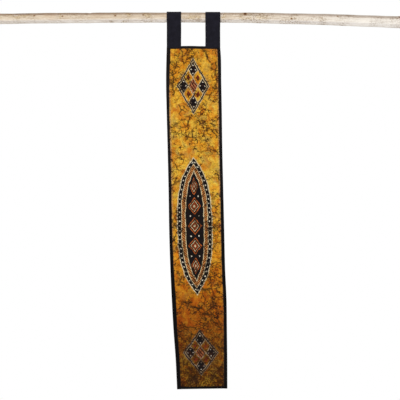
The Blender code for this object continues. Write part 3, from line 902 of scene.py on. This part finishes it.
    # Uneven uptake by the threads: blotches of a few threads, and slubs along and across
    uptake = node(tree, "MapRange", {"Value": ragged, "From Min": 0.34, "From Max": 0.62})
    uptake = node(
        tree, "ValToRGB", {0: uptake}, stops=((0.0, "#7C7064"), (0.36, "#F6F4F0"), (1.0, "#FFFFFF")),
    )
    cloth = node(tree, "Mix", {0: 1.0, 1: cloth, 2: uptake}, blend_type="MULTIPLY")
    for stretch in ((1 / SLUB_MM, 1 / SLUB_LENGTH_MM, 0), (1 / SLUB_LENGTH_MM, 1 / SLUB_MM, 0)):
        drawn_out = node(tree, "VectorMath", {0: mm, 1: stretch}, operation="MULTIPLY")
        slub = node(tree, "TexNoise", {"Vector": drawn_out, "Scale": 1.0, "Detail": 2})
        cloth = covered(tree, cloth, "#C6BDB0", slub, 0.46, 0.68, 0.5, "MULTIPLY")
    bump, thread = woven_relief(tree, mm, 0.5)
    # Painted shade in the hollows of the weave, between the tops of the threads
    cloth = covered(tree, cloth, "#BEB4A2", thread, 0.60, 0.0, 0.55, "MULTIPLY")
    tree.links.new(cloth.outputs[2], shader.inputs["Base Color"])
    tree.links.new(bump.outputs[0], shader.inputs["Normal"])
    return material


drops = np.linspace(TOP_DROP + RAW_EDGE_INSET, HEM_DROP - RAW_EDGE_INSET, PANEL_ROWS)[:, None]
left, right = edges_at(drops)
left, right = left + RAW_EDGE_INSET, right - RAW_EDGE_INSET
panel_x = left + (right - left) * np.linspace(0, 1, PANEL_COLUMNS)
panel_drop = np.broadcast_to(drops, panel_x.shape)
relief = puckers(panel_x, panel_drop) + creased(panel_x, panel_drop)
panel_points = cloth_point(panel_x, panel_drop, relief)
panel_map = np.stack((panel_x - (left + right) / 2, panel_drop), axis=-1)
panel_mesh = surface_mesh("batik_panel", panel_points, panel_map)
mark(panel_mesh, "vein", from_strokes(VEIN, *wandering(panel_x, panel_drop))[0].min(axis=-1))
mark(panel_mesh, "pooled_dye", soft_areas(POOL, "lightness", panel_x, panel_drop))
mark(panel_mesh, "blush", soft_areas(BLUSH, "warmth", panel_x, panel_drop))
# How much darker and browner each point is, partly over-dye and partly painted shade
mark(panel_mesh, "hem_dye_and_shade", np.interp(panel_drop, HEM_DYE_AND_SHADE["drop"], HEM_DYE_AND_SHADE["strength"]))
mark(panel_mesh, "from_edge", np.minimum(panel_x - left, right - panel_x) + RAW_EDGE_INSET)
panel = add_piece(panel_mesh, "batik_cotton", "panel", batik_cotton())
both_faces = panel.modifiers.new("thickness", "SOLIDIFY")
both_faces.thickness = CLOTH_THICKNESS
both_faces.offset = 0.0

# The bindings. Strips of black cotton, their raw edges turned under, folded over each side of the panel
# and sewn down close to their inner edge; the two side strips run from the top to the hem, and the ends of
# the short ones are tucked into them. The needle draws each strip in, so its width and edge are uneven.

BINDING_COLUMNS = ("drop", "left_width", "right_width")
BINDINGS = (
    (0.094, 0.0128, 0.0102),
    (0.140, 0.0122, 0.0102),
    (0.240, 0.0098, 0.0096),
    (0.340, 0.0086, 0.0094),
    (0.440, 0.0088, 0.0096),
    (0.540, 0.0092, 0.0098),
    (0.640, 0.0094, 0.0104),
    (0.740, 0.0098, 0.0106),
    (0.840, 0.0112, 0.0106),
    (0.940, 0.0136, 0.0104),
    (1.040, 0.0122, 0.0102),
    (1.130, 0.0126, 0.0108),
    (1.226, 0.0124, 0.0106),
)
BINDING = dict(zip(BINDING_COLUMNS, np.array(BINDINGS).T))
BINDING_HALF = 0.0019
TOP_BINDING_WIDTH = 0.0088
EDGE_FULLNESS = 0.0006
HEM_BINDING_WIDTH = 0.0078
BINDING_TUCK = 0.0014
TOP_HUMP, TOP_HUMP_AT, TOP_HUMP_SPREAD = 0.0010, 0.40, 0.18
END_PRESS, END_PRESS_REACH = 0.6, 0.0022
BINDING_ROW_STEP = 0.0025
STITCH_PITCH, STITCH_LENGTH, STITCH_RADIUS = 0.0040, 0.0030, 0.00028
SEAM_INSET, SEAM_PROUD = 0.0013, 0.0015
SEAM_POINT = 4
SHORT_STRIP_LENGTH = 0.16


def black_cotton(name, deep, middle, worn, thread_top_highlight):
    """Black plain-woven cotton, laundered once: four near blacks, the palest a painted highlight on the tops
    of the threads.

    It is a little paler from the top down to the middle and nearly full black in its lower half: partly the
    cotton's own colour and partly painted shade.
    """
    material, tree, shader = new_material(name, 0.90, sheen=0.02)
    place = node(tree, "UVMap", uv_map="cloth")
    mm = node(tree, "VectorMath", {0: place, 1: MM_PER_METRE}, operation="MULTIPLY")
    shade = node(tree, "TexNoise", {"Vector": mm, "Scale": 1 / 18, "Detail": 6, "Roughness": 0.6})
    cloth = node(tree, "ValToRGB", {0: shade}, stops=((0.34, deep), (0.50, middle), (0.66, worn)))
    bump, thread = woven_relief(tree, mm, 0.6)
    # A painted highlight on the tops of the threads
    cloth = covered(tree, cloth, thread_top_highlight, thread, 0.2, 1.1, 0.8)
    # Darker towards the hem: partly the cotton's own black, partly painted shade
    height = node(tree, "TexCoord").outputs["Object"]
    height = node(tree, "SeparateXYZ", {0: height}).outputs["Z"]
    cloth = covered(tree, cloth, "#030203", height, -0.35, -0.75, 0.85)
    tree.links.new(cloth.outputs[2], shader.inputs["Base Color"])
    tree.links.new(bump.outputs[0], shader.inputs["Normal"])
    return material


def waxed_thread():
    """Black sewing thread, waxed so that it shines a little."""
    material, tree, shader = new_material("waxed_thread", 0.45)
    place = node(tree, "UVMap", uv_map="cloth")
    mm = node(tree, "VectorMath", {0: place, 1: MM_PER_METRE}, operation="MULTIPLY")
    ply = node(tree, "TexWave", {"Vector": mm, "Scale": 0.6}, bands_direction="DIAGONAL")
    twist = node(tree, "Mix", {0: ply, 1: linear("#17161B"), 2: linear("#33323A")})
    tree.links.new(twist.outputs[2], shader.inputs["Base Color"])
    return material


strip_cotton = black_cotton("black_strip_cotton", "#0C0908", "#120F0F", "#1A1616", "#1F1A1A")
sewing_thread = waxed_thread()


def fold_profile(width, half=BINDING_HALF):
    """Cross-section of a folded strip as distance in from the fold, and offset from the cloth.

    It runs along the outside of the front leg, round the fold, out along the back leg, round its turned
    edge, and home along the inside. Both legs thin down to the cloth at their edge and are drawn in at
    the seam. width may be an array, with the profile along a new last axis.
    """
    width = np.asarray(width)[..., None]
    turn = np.linspace(-pi / 2, pi / 2, 9)
    lining = half * 0.45
    # The point numbered SEAM_POINT is the one under the stitches
    outer_in = np.array((0.0, -0.0003, -0.0001, 0.0005, SEAM_INSET, 0.0023, 0.0034))
    outer_out = np.array((0.0003, 0.0007, 0.00115, 0.0015, SEAM_PROUD, 0.00175, half))
    leg_in = width - outer_in
    leg_out = np.broadcast_to(outer_out, leg_in.shape)
    fold_in = half - half * np.cos(turn) + 0 * width
    fold_out = half * np.sin(turn) + 0 * width
    inner_in = half - lining * np.cos(turn[::-2]) + 0 * width
    inner_out = lining * np.sin(turn[::-2]) + 0 * width
    inwards = np.concatenate((leg_in, fold_in, leg_in[..., ::-1], inner_in), axis=-1)
    offsets = np.concatenate((-leg_out, fold_out, leg_out[..., ::-1], inner_out), axis=-1)
    return inwards, offsets


def strip_map(points):
    """A map in metres for a closed strip: distance round its cross-section, and distance along it."""
    ring = np.concatenate((points, points[:, :1]), axis=1)
    across = np.linalg.norm(np.diff(ring, axis=1), axis=-1).mean(axis=0)
    along = np.linalg.norm(np.diff(points.mean(axis=1), axis=0), axis=-1)
    across, along = np.append(0, across.cumsum()), np.append(0, along.cumsum())
    return np.stack(np.meshgrid(across, along), axis=-1)


def sewing(name, centres, forward, outward):
    """A row of stitches, each a thread that rises from the cloth and dips back: an arch of round sections.

    Along a stitch t runs from -1 to 1. Its middle stands (1 - t^2) of a thread's radius proud, and it is
    sqrt(1 - t^6) of that radius thick.
    """
    t = np.linspace(-0.97, 0.97, 7)[:, None]
    turn = tau * np.arange(6) / 6
    thick = STITCH_RADIUS * np.sqrt(1 - t ** 6)
    along = t * STITCH_LENGTH / 2 + 0 * turn
    lift = STITCH_RADIUS * (1 - 1.6 * t ** 2) + thick * np.cos(turn)
    aside = thick * np.sin(turn)
    sideways = np.cross(forward, outward)
    shape = (along, lift, aside)
    axes = (forward, outward, sideways)
    points = centres[:, None, None, :] + sum(
        amount[None, :, :, None] * axis[:, None, None, :] for amount, axis in zip(shape, axes)
    )
    count, rows, columns = points.shape[:3]
    index = np.arange(count * rows * columns).reshape(count, rows, columns)
    ring = np.concatenate((index, index[:, :, :1]), axis=2)
    quads = np.stack((ring[:, :-1, :-1], ring[:, :-1, 1:], ring[:, 1:, 1:], ring[:, 1:, :-1]), axis=-1)
    faces = quads.reshape(-1, 4).tolist() + index[:, 0, ::-1].tolist() + index[:, -1].tolist()
    mesh = bpy.data.meshes.new(name)
    mesh.from_pydata(points.reshape(-1, 3).tolist(), [], faces)
    layer = mesh.uv_layers.new(name="cloth")
    corner_of = np.empty(len(mesh.loops), np.int32)
    mesh.loops.foreach_get("vertex_index", corner_of)
    places = np.stack(np.broadcast_arrays(along, aside), axis=-1).reshape(-1, 2)
    layer.uv.foreach_set("vector", places[corner_of % (rows * columns)].astype(np.float32).ravel())
    mesh.shade_smooth()
    return add_piece(mesh, "black_cotton", None, sewing_thread)


def stitch_line(points, outward):
    """Centres, directions and outward sides of stitches set at an even pitch along a path of points."""
    steps = np.linalg.norm(np.diff(points, axis=0), axis=1)
    length = np.append(0, steps.cumsum())
    at = np.arange(STITCH_PITCH / 2, length[-1] - STITCH_PITCH / 4, STITCH_PITCH)
    centres = np.stack([np.interp(at, length, points[:, k]) for k in range(3)], axis=-1)
    forward = np.stack([np.interp(at, length, np.gradient(points[:, k], length)) for k in range(3)], axis=-1)
    forward /= np.linalg.norm(forward, axis=1, keepdims=True)
    outward = np.broadcast_to(np.array(outward, float), centres.shape)
    outward = outward - forward * (outward * forward).sum(axis=1, keepdims=True)
    return centres, forward, outward / np.linalg.norm(outward, axis=1, keepdims=True)


def seam(name, *lines):
    """One mesh of the stitches of several lines, each given as its points and its outward direction."""
    rows = [stitch_line(points, outward) for points, outward in lines]
    return sewing(name, *(np.concatenate(parts) for parts in zip(*rows)))


def drawn_in(distance):
    """How far a strip's inner edge is drawn in by its stitches: two sines along the seam, in metres."""
    return 0.00022 * np.sin(tau * distance / PUCKER_LENGTH) + 0.00030 * np.sin(tau * distance / 0.071 + 1)


rows = int((HEM_DROP - TOP_DROP) / BINDING_ROW_STEP)
drops = np.linspace(TOP_DROP, HEM_DROP, rows)[:, None]
for side, inward in (("left", 1), ("right", -1)):
    width = smooth_column(BINDING, side + "_width", drops[:, 0]) + drawn_in(drops[:, 0] + inward)
    inwards, offsets = fold_profile(width)
    edge = smooth_column(SECTION, side, drops) - inward * EDGE_FULLNESS
    swell = 1 + 0.07 * np.sin(tau * drops / PUCKER_LENGTH + inward) + 0.05 * np.sin(tau * drops / 0.046)
    points = cloth_point(edge + inward * inwards, drops, offsets * swell)
    mesh = surface_mesh("bound_edge_" + side, points, strip_map(points), closed=True)
    strip = add_piece(mesh, "black_cotton", "binding_" + side, strip_cotton)
    seam_x = edge[:, 0] + inward * (width - SEAM_INSET)
    front = cloth_point(seam_x, drops[:, 0], -SEAM_PROUD * swell[:, 0])
    back = cloth_point(seam_x, drops[:, 0], SEAM_PROUD * swell[:, 0])
    # Its stitches start below the top strip and end above the hem's
    sewn = slice(4, -2)
    seam("seam_" + side, (front[sewn], (0, -1, 0)), (back[sewn], (0, 1, 0)))

for name, edge_drop, inward, width in (
    ("top", TOP_DROP, 1, TOP_BINDING_WIDTH),
    ("bottom", HEM_DROP, -1, HEM_BINDING_WIDTH),
):
    across = np.linspace(0, 1, int(SHORT_STRIP_LENGTH / BINDING_ROW_STEP))[:, None]
    drawn = width + drawn_in(SHORT_STRIP_LENGTH * across[:, 0])
    inwards, offsets = fold_profile(drawn)
    drops = edge_drop + inward * inwards
    left, right = edges_at(drops)
    left_width = smooth_column(BINDING, "left_width", drops) - BINDING_TUCK - EDGE_FULLNESS
    right_width = smooth_column(BINDING, "right_width", drops) - BINDING_TUCK - EDGE_FULLNESS
    x = left + left_width + (right - right_width - left - left_width) * across
    from_end = np.minimum(x - x[:1], x[-1:] - x)
    pressed = 1 - END_PRESS * np.exp(-((from_end / END_PRESS_REACH) ** 2))
    points = cloth_point(x, drops, offsets * pressed)
    if name == "top":
        points[..., 2] += TOP_HUMP * np.exp(-((across - TOP_HUMP_AT) / TOP_HUMP_SPREAD) ** 2)
    mesh = surface_mesh("bound_edge_" + name, points, strip_map(points), closed=True)
    strip = add_piece(mesh, "black_cotton", "binding_" + name, strip_cotton)
    seam_drop = edge_drop + inward * (drawn - SEAM_INSET)
    front = cloth_point(x[:, SEAM_POINT], seam_drop, -SEAM_PROUD)
    back = cloth_point(x[:, SEAM_POINT], seam_drop, SEAM_PROUD)
    seam("seam_" + name, (front, (0, -1, 0)), (back, (0, 1, 0)))

# The tabs. Flat bands of the same black cotton, folded so that no raw edge shows, that go over the rod and
# lap the top binding in front and behind, where two rows of stitches hold them.

TAB_SPANS = {"tab_left": (-0.0876, -0.0405), "tab_right": (0.0395, 0.0884)}
TAB_THICKNESS = 0.0016
TAB_LAP = 0.0060
TAB_GAP = 0.0003
TAB_ROUND = 0.0008
TAB_CROWNS = {"tab_left": 0.0011, "tab_right": 0.0002}
LAP_POINTS, LEG_POINTS, ARC_POINTS = 9, 32, 49
TAB_SEAM_INSET, TAB_SEAM_UPPER, TAB_SEAM_LOWER = 0.002, 0.0012, 0.0016


def loop_path(radius, leg_depth, foot_drop):
    """Depth and height of a loop's middle line: up the front, over a circle of that radius, down the back.

    Each leg stands straight up where it laps the binding, and then runs to touch the circle, at the angle
    from straight down whose cosine is radius over distance, turned by the leg's own direction.
    """
    touch = np.arctan2(leg_depth, TOP_DROP) + np.arccos(radius / hypot(leg_depth, TOP_DROP))
    arc = np.linspace(touch, tau - touch, ARC_POINTS)
    over = radius * np.stack((-np.sin(arc), -np.cos(arc)), axis=-1)
    shoulder, foot = np.array((-leg_depth, -TOP_DROP)), np.array((-leg_depth, -foot_drop))
    lap = foot + (shoulder - foot) * np.linspace(0, 1, LAP_POINTS)[:-1, None]
    leg = shoulder + (over[0] - shoulder) * np.linspace(0, 1, LEG_POINTS)[:-1, None]
    front = np.vstack((lap, leg))
    return np.vstack((front, over, front[::-1] * (-1, 1)))


def band_section(half_width, half_thickness):
    """Closed cross-section of a folded band, across and outwards: flat faces, round and fuller folds."""
    turn = np.linspace(-pi / 2, pi / 2, 7)
    flat = np.linspace(-1, 1, 15)[1:-1] * (half_width - 2 * half_thickness)
    fold = half_width - half_thickness + half_thickness * np.cos(turn)
    across = np.concatenate((flat, fold, -flat, -fold))
    face = half_thickness * (0.90 + 0.10 * (np.abs(flat) / half_width) ** 4)
    outwards = np.concatenate((-face, half_thickness * np.sin(turn), face, -half_thickness * np.sin(turn)))
    return across, outwards


tab_cotton = black_cotton("black_tab_cotton", "#111016", "#17161D", "#1D1C25", "#23222D")
rod_radius = float(np.interp(0.0, stations, radii))
loop = loop_path(rod_radius + TAB_GAP + TAB_THICKNESS / 2, BINDING_HALF + TAB_GAP + TAB_THICKNESS / 2,
                 TOP_DROP + TAB_LAP)
direction = np.gradient(loop, axis=0)
direction /= np.linalg.norm(direction, axis=1, keepdims=True)
outward = np.stack((-direction[:, 1], direction[:, 0]), axis=-1)
run = np.append(0, np.linalg.norm(np.diff(loop, axis=0), axis=1).cumsum())
for order, (name, span) in enumerate(TAB_SPANS.items()):
    middle, half_width = sum(span) / 2, (span[1] - span[0]) / 2
    across, off = band_section(half_width, TAB_THICKNESS / 2)
    from_end = np.minimum(run, run[-1] - run)[:, None]
    blunt = np.sqrt(1 - (1 - np.clip(from_end / TAB_ROUND, 0.05, 1)) ** 2)
    ease = 1 + 0.008 * np.sin(tau * run / 0.09 + order)[:, None] * np.clip(from_end / 0.01, 0, 1)
    x = middle + across * ease
    slack = 0.0004 * np.sin(tau * run / 0.075 + 2 * order)[:, None] * np.cos(pi * across / half_width / 2)
    slack = slack * np.clip(from_end / 0.02 - 0.4, 0, 1) * (np.abs(loop[:, 1:]) > rod_radius)
    reach = off * blunt + slack + TAB_CROWNS[name] * np.clip(loop[:, 1:] / loop[:, 1].max(), 0, 1) ** 4
    points = np.stack(
        (x, loop[:, :1] + outward[:, :1] * reach, loop[:, 1:] + outward[:, 1:] * reach), axis=-1,
    )
    mesh = surface_mesh(name.replace("tab", "hanging_tab"), points, strip_map(points), closed=True)
    tab = add_piece(mesh, "black_cotton", name, tab_cotton)
    row = np.linspace(middle - half_width + TAB_SEAM_INSET, middle + half_width - TAB_SEAM_INSET, 20)
    lines = []
    for facing in (-1, 1):
        depth = facing * (BINDING_HALF + TAB_GAP + TAB_THICKNESS * 0.95)
        for drop in (TOP_DROP + TAB_SEAM_UPPER, TOP_DROP + TAB_LAP - TAB_SEAM_LOWER):
            line = np.stack((row, np.full(len(row), depth), np.full(len(row), -drop)), axis=-1)
            lines.append((line, (0, facing, 0)))
    seam(name.replace("tab", "tab_seam"), *lines)

# The studio. A camera level with the middle of the picture and square to the cloth, even soft light
# against white, a little stronger from the upper left, and a pale round floor under the hem.

PICTURE_WIDTH = 1.32
PICTURE_CENTRE = (0.0218, -0.602)
CAMERA_DISTANCE = 3.5
SENSOR_MM = 36.0
camera_data = bpy.data.cameras.new("camera")
camera_data.sensor_width = SENSOR_MM
camera_data.lens = SENSOR_MM * CAMERA_DISTANCE / PICTURE_WIDTH
camera = bpy.data.objects.new("camera", camera_data)
camera.location = (PICTURE_CENTRE[0], -CAMERA_DISTANCE, PICTURE_CENTRE[1])
camera.rotation_euler = (pi / 2, 0, 0)
studio = bpy.context.scene
studio.collection.objects.link(camera)
studio.camera = camera
studio.view_settings.view_transform = "Standard"


def soft_light(name, place, size, watts):
    """A square of light of one size, turned to the middle of the hanging."""
    data = bpy.data.lights.new(name, "AREA")
    data.size, data.energy = size, watts
    lamp = bpy.data.objects.new(name, data)
    away = np.array(place) - np.array((0.0, 0.0, PICTURE_CENTRE[1]))
    lamp.location = place
    tilt, bearing = np.arccos(away[2] / np.linalg.norm(away)), np.arctan2(away[1], away[0])
    lamp.rotation_euler = (tilt, 0, bearing + pi / 2)
    studio.collection.objects.link(lamp)


soft_light("key", (-1.9, -3.1, 0.9), 1.6, 60)
soft_light("fill", (2.2, -2.8, -0.2), 2.0, 27)
soft_light("behind", (0.4, 3.4, 0.6), 2.2, 40)

world = bpy.data.worlds.new("white")
studio.world = world
world.use_nodes = True
sky = world.node_tree
sky.nodes.clear()
seen = node(sky, "Background", {"Color": (1, 1, 1, 1), "Strength": 1.0})
unseen = node(sky, "Background", {"Color": (1, 1, 1, 1), "Strength": 0.62})
to_camera = node(sky, "LightPath").outputs["Is Camera Ray"]
mixed = node(sky, "MixShader", {0: to_camera, 1: unseen, 2: seen})
node(sky, "OutputWorld", {0: mixed})

FLOOR_DROP, FLOOR_RADIUS = 1.52, 1.15
floor_mesh = bpy.data.meshes.new("floor")
disc = bmesh.new()
bmesh.ops.create_circle(disc, cap_ends=True, segments=96, radius=FLOOR_RADIUS)
disc.to_mesh(floor_mesh)
disc.free()
floor_mesh.transform(Matrix.Translation((0, 0, -FLOOR_DROP)))
floor = bpy.data.objects.new("floor", floor_mesh)
plaster, _, _ = new_material("pale_floor", 0.9)
plaster.node_tree.nodes["Principled BSDF"].inputs["Base Color"].default_value = linear("#EDEBE7")
floor_mesh.materials.append(plaster)
studio.collection.objects.link(floor)
